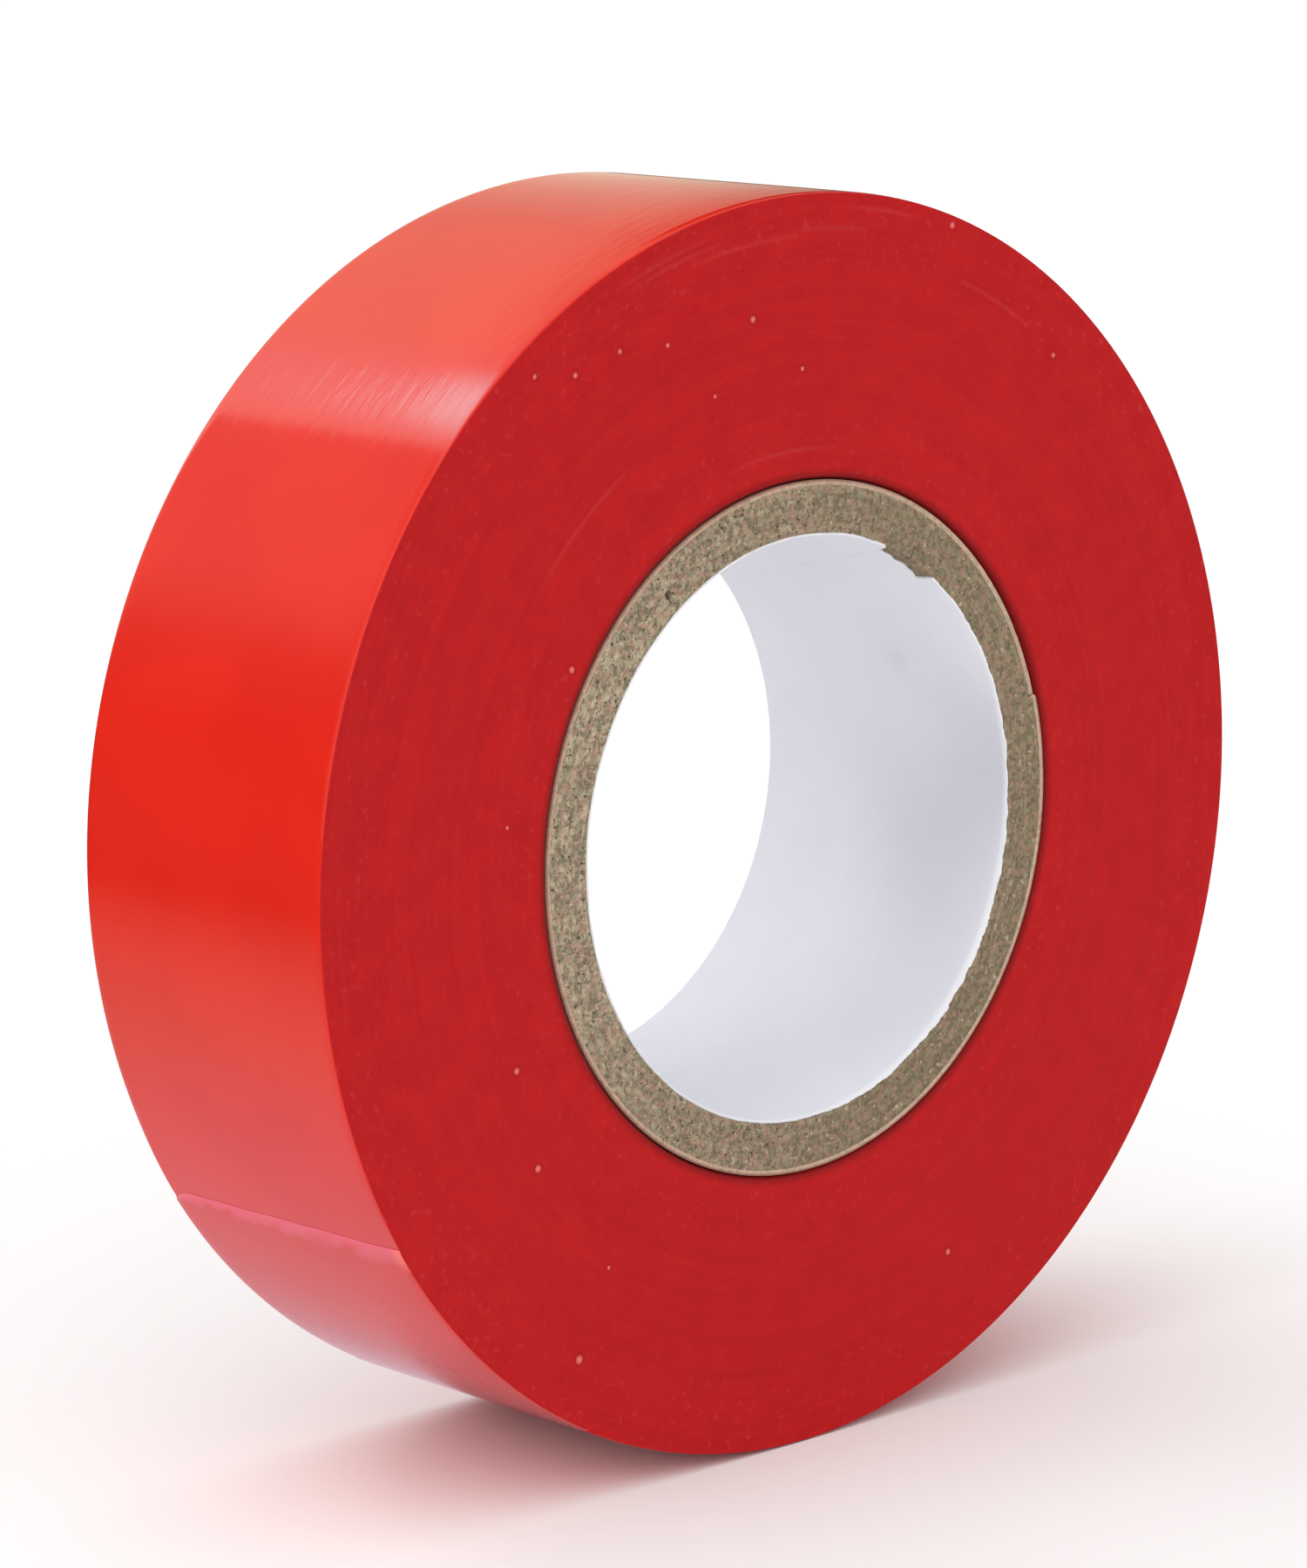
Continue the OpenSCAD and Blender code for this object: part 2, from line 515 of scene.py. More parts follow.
# A dent in the chipboard: its radius from the axis, angle, size and depth, and its shade
PIT = (17.28, 126.4, 0.30, 0.28)
PIT_DARK = colour(0.03, 0.02, 0.015)
PIT_SHADE = (0.14, 0.34, 0.92, 0)


def fibre_colour(graph, here, fibres, layers):
    """The chipboard's browns between its light and dark fibres and layers, with painted light towards
    the left and painted shade towards the bottom.
    """
    # Painted light: the board is lighter towards the left, where the light falls
    left = graph.ramp(here.x, *BOARD_LIT_LEFT)
    light = graph.mix(left, *BOARD_LIGHTS)
    dark = graph.mix(left, *BOARD_DARKS)
    base = graph.mix(graph.ramp(fibres, *BOARD_FIBRES), dark, light)
    # Painted shade towards the bottom
    base = graph.mix(graph.ramp(here.z, *BOARD_LOW_SHADE), base, dark)
    return graph.mix(graph.ramp(layers, *BOARD_LAYERS), base, dark)


def fleck_colour(graph, here, base):
    """Adds the pinkish and greenish fibres, the dark and pale flecks and the dent's shade."""
    flecks = graph.noise(here.point, 3.6)
    pale_flecks = graph.noise(graph.vector(here.z, here.x, here.y), 3.2)
    hue = graph.noise(graph.vector(here.y, here.z, here.x), 2.2)
    base = graph.mix(graph.ramp(hue, *PINK_FIBRES), base, BOARD_PINK)
    base = graph.mix(graph.ramp(hue, *GREEN_FIBRES), base, BOARD_GREEN)
    base = graph.mix(graph.ramp(here.x, *EVEN_RIGHT), base, BOARD_EVEN)
    fleck = graph.times(graph.ramp(flecks, *DARK_FLECKS), graph.ramp(here.x, *FLECKS_RIGHT))
    base = graph.mix(fleck, base, FLECK_DARK)
    base = graph.mix(graph.ramp(pale_flecks, *PALE_FLECKS), base, FLECK_PALE)
    from_pit = graph.distance(here.point, at(PIT[0], PIT[1], -HALF_W / MM))
    return graph.mix(graph.ramp(from_pit, *PIT_SHADE), base, PIT_DARK)


def make_chipboard_material():
    """Raw grey-brown chipboard: pressed fibres in thin concentric layers, with dark flecks."""
    material, graph, shader = new_material("Chipboard")
    here = Place(graph)
    layer_place = graph.stretched((here.r, 3.4), (here.x, 0.35), (here.z, 0.35))
    layers = graph.noise(layer_place, 1.0, detail=3.0, rough=0.55)
    fibres = graph.noise(here.point, 3.0, detail=3.0, rough=0.7, distortion=0.4)
    base = fleck_colour(graph, here, fibre_colour(graph, here, fibres, layers))
    roughness = graph.ramp(fibres, *BOARD_ROUGHNESS)
    relief = graph.plus(fibres, graph.times(layers, 0.8))
    dress(graph, shader, base, roughness, relief, 0.7, 0.06, specular=0.25)
    return material


TAN_DARK = colour(0.40, 0.28, 0.19)
TAN_LIGHT = colour(0.64, 0.47, 0.34)
TAN_PINK = colour(0.66, 0.42, 0.32)
TAN_PATCHES = (0.4, 0.65, 0, 0.4)
TAN_ROUGHNESS = (0.3, 0.7, 0.75, 0.95)
# The red shade that the tape throws on the sheet's outermost edge
TAN_EDGE = colour(0.20, 0.03, 0.025)
TAN_EDGE_SHADE = (CORE_R / MM - 0.20, CORE_R / MM - 0.02, 0, 0.65)


def make_tan_material():
    """The smoother tan paper round the chipboard, lighter and pinker than it."""
    material, graph, shader = new_material("Tan_Paper")
    here = Place(graph)
    fibres = graph.noise(here.point, 3.4, detail=4.0, rough=0.65, distortion=0.4)
    patches = graph.noise(here.point, 0.45)
    base = graph.mix(graph.ramp(fibres, 0.3, 0.7), TAN_DARK, TAN_LIGHT)
    base = graph.mix(graph.ramp(patches, *TAN_PATCHES), base, TAN_PINK)
    base = graph.mix(graph.ramp(here.r, *TAN_EDGE_SHADE), base, TAN_EDGE)
    dress(graph, shader, base, graph.ramp(fibres, *TAN_ROUGHNESS), fibres, 0.6, 0.05, specular=0.25)
    return material


LINER_CLOUDS = (0.35, 0.65)
LINER_TONES = (colour(0.865, 0.870, 0.922), colour(0.880, 0.885, 0.932))
LINER_FIBRE = colour(0.74, 0.74, 0.79)
LINER_FIBRES = (0.55, 0.75, 0, 0.12)
LINER_ROUGHNESS = (0.3, 0.7, 0.7, 0.9)
LINER_EDGE = colour(0.88, 0.88, 0.90)
LINER_EDGE_WIDTH = (-HALF_W / MM + 0.1, -HALF_W / MM + 0.45, 0.6, 0)
# Painted grey shade inside the bore: growing downwards, and in patches, each with its angle, distance
# along the axis, size and strength
BORE_PAINTED_SHADE = colour(0.42, 0.41, 0.46)
PAINTED_SHADE_LOW = (11, -6, 0, 0.22)
PAINTED_SHADE_PATCHES = (
    (344, -4.7, 8.0, 0.28), (358, -1.0, 6.0, 0.10), (24.7, -2.3, 1.4, 0.10), (5, -9.0, 8.0, 0.40),
    (25, -4.0, 6.0, 0.09), (318, -8.0, 10.0, 0.24), (290, -4.0, 12.0, 0.16),
)


def make_paper_material():
    """The white paper that lines the bore: faint fibre clouds and a little painted grey shade."""
    material, graph, shader = new_material("White_Paper")
    here = Place(graph)
    clouds = graph.noise(here.point, 0.35, detail=3.0, rough=0.55)
    fibres = graph.noise(here.point, 3.0, detail=4.0, rough=0.65, distortion=0.5)
    base = graph.mix(graph.ramp(clouds, *LINER_CLOUDS), *LINER_TONES)
    # Painted shade, darker towards the bottom
    base = graph.mix(graph.ramp(here.z, *PAINTED_SHADE_LOW), base, BORE_PAINTED_SHADE)
    base = graph.mix(graph.ramp(fibres, *LINER_FIBRES), base, LINER_FIBRE)
    # Painted shade in patches
    for angle, depth, size, share in PAINTED_SHADE_PATCHES:
        away = graph.distance(here.point, at(BORE_R / MM, angle, depth))
        base = graph.mix(graph.ramp(away, 0, size, share, 0), base, BORE_PAINTED_SHADE)
    base = graph.mix(graph.ramp(here.y, *LINER_EDGE_WIDTH), base, LINER_EDGE)
    dress(graph, shader, base, graph.ramp(fibres, *LINER_ROUGHNESS), fibres, 0.35, 0.03, specular=0.3)
    return material


# -------- the wound tape

COLUMNS = 360
FACE_TURNS = 115
RIM_ROWS = 14
CORNER_STEPS = 5
# How far the mesh stays inside the CAD solid at a face, at a rounded edge and by the core
FACE_INSET = 0.002 * MM
EDGE_INSET = 0.012 * MM
CORE_CLEARANCE = 0.004 * MM
# The rounded outer corners: height, width, their size under the free end, how many degrees
# they take to grow from that, and the width of the row of faces beside them
CORNER_R = 0.09 * MM
CORNER_WIDTH = 0.55 * MM
CUT_CORNER_R = 0.03 * MM
CORNER_FADE = 10
RIM_MARGIN = 0.06 * MM
# The gap round the core: its width and depth, and a point on its slope as shares of them
GROOVE = 0.20 * MM
GROOVE_DEPTH = 0.55 * MM
GROOVE_SLOPE = (0.4, 0.3)
GROOVE_POINTS = 3
# The outer turns sag a little towards the front edge near the top: depth, where, how far
SAG = 0.09 * MM
SAG_ANGLE = 115
SAG_REACH = 45
SAG_WIDTH = 5.4 * MM
WANDER = 0.04 * MM
# How the turns wander sideways, as in the CAD: where a shift begins, as a share of the way
# from the core to the rim, and its size as a share of WANDER
SHIFTS = ((0, 0), (0.16, 1), (0.31, -0.5), (0.55, 0.6), (0.72, -1), (0.9, 0))
SHIFT_TURNS = 1.6
SHIFT_SHARE = 0.8
DRIFT_SHARE = 0.2
TURN_JITTER = 0.006 * MM
SIDES = ((-1, "front"), (1, "back"))
# The part of its normal by which a facet counts as part of a face
FACING_SIDEWAYS = 0.6


def winding_radius(angle, cut_back):
    """Outside of the winding: one pitch lower under the free end, then one turn of a spiral."""
    if cut_back:
        return ROLL_R - PITCH
    away = math.radians((angle - WIDEST_ANGLE) % 360)
    if away > math.pi:
        return ROLL_R
    shift = PITCH / 2
    return shift * math.cos(away) + math.sqrt((ROLL_R - shift) ** 2 - (shift * math.sin(away)) ** 2)


def sag(angle, y):
    """How far the outside of the winding lies below its full radius near the front edge."""
    inwards = max(0.0, (SAG_WIDTH - HALF_W - y) / SAG_WIDTH)
    return SAG * near(angle, SAG_ANGLE, SAG_REACH) * min(inwards, 1.0) ** 2


def sideways(turn):
    """How far the tape stands towards the front at this many turns out from the core."""
    share = turn / FACE_TURNS
    offset = 0.0
    for (start, size), (_, before) in zip(SHIFTS[1:], SHIFTS):
        offset += (size - before) * smooth((share - start) * FACE_TURNS / SHIFT_TURNS + 0.5)
    drift = 0.25 * grain(turn * 0.11, 0, 0, 1)
    jitter = TURN_JITTER * grain(turn * 3.1, 0, 0, 2)
    return WANDER * SHIFT_SHARE * offset + WANDER * DRIFT_SHARE * drift + jitter


def face_y(side, turn):
    """Where a face's surface lies at this many turns out from the core."""
    return side * (HALF_W - FACE_INSET) - sideways(turn)


def corner_size(angle, cut_back):
    """Height and width of the rounded outer corners, almost sharp beneath the free end."""
    if cut_back:
        return CUT_CORNER_R, CUT_CORNER_R
    share = smooth(min(END_ANGLE + 360 - angle, angle - ROOT_ANGLE) / CORNER_FADE)
    height = CUT_CORNER_R + (CORNER_R - CUT_CORNER_R) * share
    width = CUT_CORNER_R + (CORNER_WIDTH - CUT_CORNER_R) * share
    return height, width


def rim_rows(corner_width):
    """Where the rows of points lie across the outside, with a narrow row by each corner."""
    edge = HALF_W - EDGE_INSET - corner_width
    inner = edge - RIM_MARGIN
    return [-edge] + [inner * (2 * row / RIM_ROWS - 1) for row in range(RIM_ROWS + 1)] + [edge]


def face_places(side, fraction):
    """Radius and y of a face's points: up the slope of the gap round the core, then the turns."""
    inner_y = face_y(side, fraction)
    start_r = CORE_R + GROOVE
    slope_r, slope_depth = GROOVE_SLOPE
    turns = [row + fraction for row in range(FACE_TURNS)]
    return [
        (CORE_R + CORE_CLEARANCE, inner_y - side * GROOVE_DEPTH),
        (CORE_R + GROOVE * slope_r, inner_y - side * GROOVE_DEPTH * slope_depth),
        (start_r, inner_y),
    ] + [(start_r + PITCH * turn, face_y(side, turn)) for turn in turns]


def corner_places(side, rim_r, height, width):
    """Radius and y of the points round an outer corner, from the face to the rim."""
    places = []
    for step in range(CORNER_STEPS):
        bend = math.radians(90 * step / CORNER_STEPS)
        radius = rim_r - height + height * math.sin(bend)
        inwards = width * (1 - math.cos(bend))
        places.append((radius, side * (HALF_W - EDGE_INSET) - side * inwards))
    return places


def add_places(points, angle, places):
    """Adds a point at each radius and y, and gives the new points' numbers."""
    first = len(points)
    points += [at(radius, angle, y) for radius, y in places]
    return list(range(first, len(points)))


def winding_column(points, angle, fraction, cut_back):
    """One radial section through the turns, as numbers of new points.

    fraction is how much of a turn the spiral has grown since the cut end's angle, so that
    each row of points follows one turn of tape all the way round.
    """
    full_r = winding_radius(angle, cut_back)
    height, width = corner_size(angle, cut_back)
    section = {}
    for side, part in SIDES:
        rim_r = full_r - sag(angle, -HALF_W) if side < 0 else full_r
        places = face_places(side, fraction) + corner_places(side, rim_r, height, width)
        section[part] = add_places(points, angle, places)
    rim = [(full_r - sag(angle, y), y) for y in rim_rows(width)]
    section["rim"] = add_places(points, angle, rim)
    return section


def add_root_step(points):
    """The two sections at the free end's root: one pitch low before it, full height after."""
    fraction = 1 - (ROOT_ANGLE - END_ANGLE) / 360
    before = winding_column(points, ROOT_ANGLE, fraction, True)
    after = {}
    for side, part in SIDES:
        raised = corner_places(side, ROLL_R, CUT_CORNER_R, CUT_CORNER_R)[1:]
        after[part] = before[part][:-len(raised)] + add_places(points, ROOT_ANGLE, raised)
    rim = [(ROLL_R, points[number].y) for number in before["rim"]]
    after["rim"] = add_places(points, ROOT_ANGLE, rim)
    return [before, after]


def loop_of(section, closing=None):
    """A section's point numbers in order, from the bore's front edge round to it again.

    closing is "last" or "first" for the two sections where the rows step out by one turn.
    """
    rows = {}
    for _, part in SIDES:
        inner = section[part][:GROOVE_POINTS]
        turns = section[part][GROOVE_POINTS:-CORNER_STEPS]
        corner = section[part][-CORNER_STEPS:]
        if closing == "last":
            turns = turns + turns[-1:]
        if closing == "first":
            turns = inner[-1:] + turns
        rows[part] = inner + turns + corner
    return rows["front"] + section["rim"] + rows["back"][::-1] + rows["front"][:1]


def make_winding(rim_material, face_material):
    """All the turns wound on the core, with every turn's edge as its own row of points."""
    points, faces, sections = [], [], []
    for column in range(COLUMNS):
        angle = END_ANGLE + column
        fraction = 1 - (angle - END_ANGLE) / 360
        sections.append(winding_column(points, angle, fraction, angle < ROOT_ANGLE))
    past_root = int(ROOT_ANGLE - END_ANGLE) + 1
    sections[past_root:past_root] = add_root_step(points)
    for left, right in zip(sections, sections[1:]):
        bridge(faces, loop_of(left), loop_of(right))
    bridge(faces, loop_of(sections[-1], "last"), loop_of(sections[0], "first"))

    def pick(centre, normal):
        """The film's outside on the rim, and the slit edges on the faces and in the bore."""
        radius = math.hypot(centre.x, centre.z)
        return 1 if abs(normal.y) > FACING_SIDEWAYS or radius < ROLL_R - 3 * PITCH else 0

    piece = make_piece("Tape_Winding", points, faces, [rim_material, face_material], pick)
    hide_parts("tape_winding")
    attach(piece, "roll")


# -------- the free end

STEP_ANGLE = 0.25
END_ROWS = 14
FILM_HALF_W = HALF_W - EDGE_INSET
# The film's start is tucked under the turn before it by this angle and depth
TUCK_ANGLE = 0.3
TUCK = 0.004 * MM
# The cut end: the arc over which it lifts, how far, its slant and its trimmed back corner
LIP_ARC = 1.9
LIP_LIFT = 0.005 * MM
CUT_SLANT = 0.4
CUT_UNEVEN = 0.17
CORNER_TRIM = 0.9
# The film with its glue coat, its slit edges pressed a little thinner, its stretched cut end
COATED_T = PITCH - 0.002 * MM
EDGE_ROWS = (0.03 * MM, 0.15 * MM, 0.30 * MM, 0.50 * MM)
EDGE_DROP = 0.045 * MM
STRETCHED = 0.7 * MM
STRETCHED_DROP = 0.115 * MM
# The part of its normal by which a facet counts as part of the underside
FACING_INWARDS = -0.5


def near_end(angle):
    """0 on the film, rising to 1 at its cut end."""
    return smooth((END_ANGLE + LIP_ARC - angle) / LIP_ARC)


def from_cut(angle):
    """How far along the film an angle lies from the cut end."""
    return math.radians(angle - END_ANGLE) * ROLL_R


def lift(angle, y):
    """How far the film near its cut end stands off the roll."""
    wave = 0.3 * grain(y / MM * 0.28, 0, 0, 4)
    corner = 0.5 * beyond(-y, 0.8)
    fade = 1 - 0.6 * beyond(y, 0.4)
    return LIP_LIFT * near_end(angle) * (0.7 + wave + corner) * fade


def cut_shift(y):
    """How far the cut end lies from its mean angle: a slanting, uneven cut."""
    uneven = CUT_UNEVEN * grain(y / MM * 0.45, 0, 0, 12)
    return CUT_SLANT * y / HALF_W + uneven + CORNER_TRIM * beyond(y, 0.84) ** 2


def film_rows():
    """Where the rows of points lie across the free end, closer together by its slit edges."""
    edge = [FILM_HALF_W - step for step in EDGE_ROWS]
    middle = [FILM_HALF_W * (2 * k / END_ROWS - 1) for k in range(1, END_ROWS)]
    return [-y for y in edge] + middle + edge[::-1]


def thinned(y, angle):
    """How far the film's outside is drawn down by its slit edges and towards its cut end."""
    by_edge = max(0.0, 1 - (FILM_HALF_W - abs(y)) / EDGE_ROWS[-1]) ** 2
    by_cut = max(0.0, 1 - from_cut(angle) / STRETCHED) ** 2
    return max(EDGE_DROP * by_edge, STRETCHED_DROP * by_cut)


def film_outline(angle, ys):
    """Radius and y of the points round the film: outside, back edge, underside, front edge."""
    outer_r = ROLL_R - (TUCK if angle > ROOT_ANGLE else 0)
    side_r = outer_r - (thinned(FILM_HALF_W, angle) + COATED_T) / 2
    outline = [(outer_r - thinned(y, angle), y) for y in ys]
    outline.append((side_r, FILM_HALF_W))
    outline += [(outer_r - COATED_T, y) for y in reversed(ys)]
    outline.append((side_r, -FILM_HALF_W))
    return outline


def close_film(faces, loop, rows):
    """Closes one end of the film, between its outside, its underside and its two edges."""
    outer = loop[:rows]
    inner = loop[rows + 1:2 * rows + 1][::-1]
    bridge(faces, outer, inner)
    faces.append([outer[-1], loop[rows], inner[-1]])
    faces.append([outer[0], inner[0], loop[2 * rows + 1]])


def make_tape_end(number, from_angle, to_angle, materials):
    """One stretch of the free end's film, as a thin closed sheet with rounded slit edges."""
    count = round((from_angle - to_angle) / STEP_ANGLE)
    angles = [from_angle + (to_angle - from_angle) * step / count for step in range(count + 1)]
    if number == 1:
        angles.insert(0, from_angle + TUCK_ANGLE)
    ys = film_rows()
    points, faces, loops, marks = [], [], [], []
    for angle in angles:
        loop = []
        for radius, y in film_outline(angle, ys):
            loop.append(len(points))
            points.append(at(radius + lift(angle, y), angle + near_end(angle) * cut_shift(y), y))
            marks.append(from_cut(angle) / MM)
        loops.append(loop + loop[:1])
    for left, right in zip(loops, loops[1:]):
        bridge(faces, left, right)
    close_film(faces, loops[0], len(ys))
    close_film(faces, loops[-1], len(ys))

    def pick(centre, normal):
        """The glue coat on faces that look towards the roll, and the film on the others."""
        outward = Vector((centre.x, 0, centre.z)).normalized()
        return 1 if normal.dot(outward) < FACING_INWARDS else 0

    return make_piece("Tape_End_%d" % number, points, faces, materials, pick, marks=marks)


def make_tape_ends(film, cut_film, adhesive):
    """The six stretches of the free end, each laid round the roll across one hinge."""
    starts = [ROOT_ANGLE] + [hinge + LINK_ARC / 2 for hinge in HINGE_ANGLES[1:]]
    ends = [hinge - LINK_ARC / 2 for hinge in HINGE_ANGLES[:-1]] + [END_ANGLE]
    for k in range(6):
        outside = cut_film if k == 5 else film
        piece = make_tape_end(k + 1, starts[k], ends[k], [outside, adhesive])
        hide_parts("tape_end_%d" % (k + 1))
        bend_from = HINGE_ANGLES[0] if k == 0 else starts[k]
        bend_to = HINGE_ANGLES[k] - LINK_ARC / 2
        at(FILM_MID_R, bend_from, 0)
        at(FILM_MID_R, bend_to, 0)
        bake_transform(piece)


# -------- the paper core

CORE_COLUMNS = 720
SHEET_CLEARANCE = 0.002 * MM
EDGE_ROUND = 0.045 * MM
# Rows of points along a wall: depths behind the front edge, then even bands over this reach
WALL_DEPTHS = (0.12 * MM, 0.3 * MM, 0.6 * MM, 1.2 * MM)
BAND_REACH = 0.8
# Just past the tan sheet's lap the core lies lower, for this many degrees
LAP_STEP = 0.20 * MM
LAP_REACH = 70
# The liner's front edge: pressed outwards round an angle, to a depth, and torn between two
FLARE_AT = (322, 48)
FLARE_DEPTH = 0.55 * MM
TEAR_FROM = 52.5
TEAR_TO = 66.5
TEAR_DEPTH = 1.20
# The plies' cut ends lie this far below the tape's face, and are rough, all in millimetres
END_SUNK = 0.01
END_COARSE = 0.030
END_FINE = 0.014

SEAMS = {
    "core_liner": 52, "core_ply_1": 47, "core_ply_2": 114,
    "core_ply_3": 203, "core_ply_4": 293, "core_outer_ply": 5,
}

Sheet = namedtuple("Sheet", "name inner_r outer_r rows bands")


def seam_at(name, radius, y):
    """The angle of a sheet's seam at a distance along the roll's axis."""
    shift = math.degrees(math.atan2(-y * math.tan(math.radians(SEAM_SLANT)), radius))
    return SEAMS[name] + shift


def lap(angle, y):
    """How far the core falls inwards just past the step where the tan sheet laps itself."""
    past = (angle - seam_at("core_outer_ply", CORE_R, y)) % 360
    return LAP_STEP * (1 - smooth(past / LAP_REACH))


def flare(angle, depth):
    """How far the liner's front edge is pressed outwards into the chipboard."""
    size = 0.05 + 0.27 * near(angle, *FLARE_AT) + 0.06 * grain(angle * 0.12, 0, 0, 5)
    return MM * size * max(0.0, 1 - depth / FLARE_DEPTH) ** 2


def tear(angle):
    """How far the liner's front edge is torn back."""
    ragged = 0.04 + 0.08 * grain(angle * 0.37, 0, 0, 6) + 0.05 * grain(angle * 1.3, 0, 0, 7)
    here = angle % 360
    torn = smooth((here - TEAR_FROM) / 1.5) * (1 - smooth((here - TEAR_TO) / 1.2))
    depth = TEAR_DEPTH + 0.45 * grain(angle * 0.35, 0, 0, 8)
    return MM * (max(0.0, ragged) + torn * depth)


def end_relief(radius, angle, side):
    """How deep the chipboard's cut end lies below the tape's face at a point."""
    r, t = radius / MM, math.radians(angle)
    x, z = r * math.cos(t), r * math.sin(t)
    coarse = END_COARSE * abs(grain(x * 1.6, z * 1.6, side * 3.0, 9))
    fine = END_FINE * abs(grain(x * 4, z * 4, side * 5.0, 10))
    pit_r, pit_angle, pit_size, pit_depth = PIT
    away = (at(pit_r, pit_angle, 0) - at(r, angle, 0)).length
    pit = pit_depth * (1 - smooth(away / pit_size)) if side < 0 else 0.0
    return MM * (END_SUNK + (coarse + fine) + pit)


def sheet_radii(sheet, angle, y, depth):
    """Inner and outer radius of a sheet of the core at a place."""
    low, high = sheet.inner_r, sheet.outer_r
    if sheet.name in ("core_liner", "core_ply_1"):
        low += flare(angle, depth)
    if sheet.name == "core_liner":
        high += flare(angle, depth)
        wave = 0.02 * grain(angle * 0.05, y / MM * 0.15, 0, 11)
        low += MM * max(0.0, wave) * smooth(depth / MM - 0.5)
    if sheet.name == "core_outer_ply":
        low -= lap(angle, y)
        high -= lap(angle, y)
    if sheet.name == "core_ply_4":
        high -= lap(angle, y)
    return low + SHEET_CLEARANCE, high - SHEET_CLEARANCE


def turn_at(sheet, share, y):
    """The angle that lies a share of the way round a sheet from its seam."""
    slit = LINER_GAP if sheet.name == "core_liner" else SEAM_GAP
    gap = math.degrees(slit / sheet.inner_r)
    return seam_at(sheet.name, sheet.inner_r, y) + gap / 2 + share * (360 - gap)


def cut_end(sheet, share, side):
    """The points across a sheet's cut end, each as its share of the thickness, y and depth."""
    turn = turn_at(sheet, share, side * HALF_W)
    places = []
    for row in range(sheet.rows + 1):
        radius = sheet.inner_r + (sheet.outer_r - sheet.inner_r) * row / sheet.rows
        sunk = end_relief(radius, turn, side)
        if sheet.name == "core_liner" and side < 0:
            sunk += tear(turn)
        if row in (0, sheet.rows):
            sunk += EDGE_ROUND
        y = side * HALF_W - side * sunk
        places.append((row / sheet.rows, y, max(0.0, HALF_W - abs(y)) if side < 0 else MM))
    return places


def wall(sheet, thickness_share, front_y):
    """The points along a sheet's inner or outer side, from the front to the back."""
    ys = [front_y + depth for depth in WALL_DEPTHS]
    reach = BAND_REACH * HALF_W
    bands = [-reach + 2 * reach * band / sheet.bands for band in range(1, sheet.bands)]
    close = [(thickness_share, y, HALF_W + y) for y in ys]
    return close + [(thickness_share, y, MM) for y in bands]


def sheet_section(sheet, share):
    """A sheet's points at one place round it, from the front's outer edge by the bore side."""
    front, back = cut_end(sheet, share, -1), cut_end(sheet, share, 1)
    inside, outside = wall(sheet, 0.0, front[0][1]), wall(sheet, 1.0, front[-1][1])
    points = []
    for thickness_share, y, depth in front[::-1] + inside + back + outside[::-1]:
        turn = turn_at(sheet, share, y)
        low, high = sheet_radii(sheet, turn, y, depth)
        points.append(at(low + (high - low) * thickness_share, turn, y))
    return points


def make_sheet(name, title, inner_r, outer_r, material, rows=4, bands=6):
    """One sheet of the core: a tube slit along a slanting seam, with rough cut ends."""
    sheet = Sheet(name, inner_r, outer_r, rows, bands)
    points, faces, loops = [], [], []
    for column in range(CORE_COLUMNS + 1):
        section = sheet_section(sheet, column / CORE_COLUMNS)
        loop = list(range(len(points), len(points) + len(section)))
        points += section
        loops.append(loop + loop[:1])
    for left, right in zip(loops, loops[1:]):
        bridge(faces, left, right)
    for loop in (loops[0], loops[-1]):
        faces.append(loop[:-1])
    piece = make_piece(title, points, faces, [material])
    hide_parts(name)
    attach(piece, "roll")


def make_core():
    """The white liner, the chipboard plies round it and the tan sheet round those."""
    white, board, tan = make_paper_material(), make_chipboard_material(), make_tan_material()
    make_sheet("core_liner", "Core_Liner", BORE_R, LINER_R, white, rows=2, bands=16)
    inner = LINER_R
    for number, outer in enumerate(PLY_RS, start=1):
        make_sheet("core_ply_%d" % number, "Core_Ply_%d" % number, inner, outer, board)
        inner = outer
    make_sheet("core_outer_ply", "Core_Outer_Ply", inner, CORE_R, tan, rows=3)


# -------- floor and light

FLOOR_REACH = 6.0
FLOOR_Z = -ROLL_R - 0.02 * MM
FLOOR_LIGHT = colour(0.955, 0.955, 0.955)
FLOOR_LIGHTER = colour(0.975, 0.975, 0.975)
# What diffuse light finds on the floor
BOUNCE = 0.815
# What reflections find there: bright close to the roll, but less so in front of it, fading
# out far away, and bluish close by
SHEEN_NEAR = (18 * MM, 45 * MM, 0.42, 0.0)
SHEEN_IN_FRONT = (-3 * MM, 16 * MM, 0.25, 1.0)
SHEEN_FAR = (45 * MM, 200 * MM, 0.78, 0.0)
SHEEN_BLUE = (50 * MM, 90 * MM, 1.13, 0.88)


